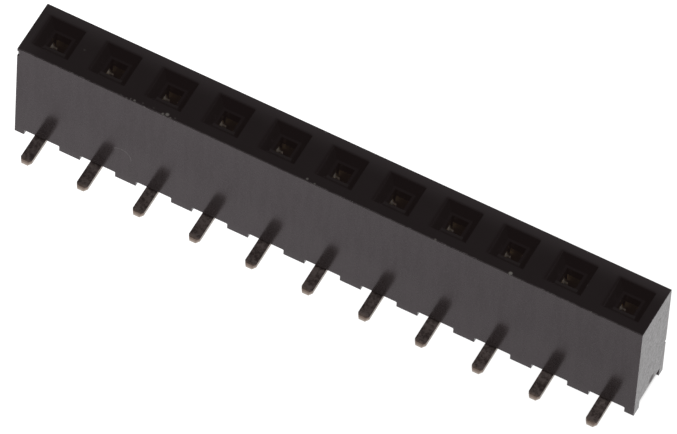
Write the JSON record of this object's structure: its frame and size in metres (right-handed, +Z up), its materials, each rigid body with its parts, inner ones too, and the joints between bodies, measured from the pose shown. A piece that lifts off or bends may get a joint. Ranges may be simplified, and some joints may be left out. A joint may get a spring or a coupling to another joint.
{
  "type": "surface-mount pin header socket strip",
  "caption": "Straight black socket strip for square header pins, with a row of square funnel mouths on top and flat solder tails leaving along the board on one side.",
  "frame": {"origin": "middle of the whole footprint, housing and tails together, on the board's surface", "axes": "+X along the row, +Z up out of the sockets, -Y the way the solder tails point"},
  "size_m": [0.0278, 0.0038, 0.0057],
  "materials": {
    "housing_plastic": "satin black moulded plastic",
    "contact_metal": "thinly plated copper alloy strip, dull, with a bare cut end"
  },
  "bodies": {
    "root": {"housing": "housing_plastic", "contact_01": "contact_metal", "contact_02": "contact_metal", "contact_03": "contact_metal", "contact_04": "contact_metal", "contact_05": "contact_metal", "contact_06": "contact_metal", "contact_07": "contact_metal", "contact_08": "contact_metal", "contact_09": "contact_metal", "contact_10": "contact_metal", "contact_11": "contact_metal"}
  },
  "joints": []
}
